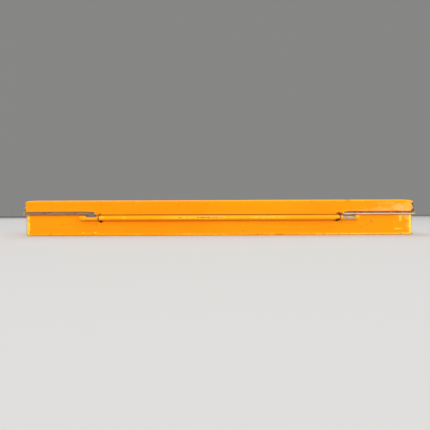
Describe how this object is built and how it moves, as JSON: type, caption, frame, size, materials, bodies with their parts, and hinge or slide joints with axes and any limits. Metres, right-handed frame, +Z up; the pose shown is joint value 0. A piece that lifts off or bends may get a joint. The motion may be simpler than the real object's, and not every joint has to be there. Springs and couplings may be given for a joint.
{
  "type": "hinged tin case",
  "caption": "Long flat sheet-metal case for drawing tools, with a rolled-edge lid that turns on a wire hinge along its back.",
  "frame": {"origin": "middle of the underside of the base, on the surface that the case lies on", "axes": "+X along the case, +Y towards the hinged back, +Z up towards the lid"},
  "size_m": [0.2036, 0.067, 0.0182],
  "materials": {
    "enamel": "glossy orange enamel, worn at the edges",
    "bare_tinplate": "tarnished tinplate"
  },
  "bodies": {
    "base": {"base_shell": "enamel", "hinge_wire": "bare_tinplate"},
    "lid": {"lid_shell": "enamel"}
  },
  "joints": [
    {"name": "lid_hinge", "type": "hinge", "parent": "base", "child": "lid", "pos_m": [0, 0.03248, 0.00915], "axis": [-1, 0, 0], "range_deg": [0, 180]}
  ]
}
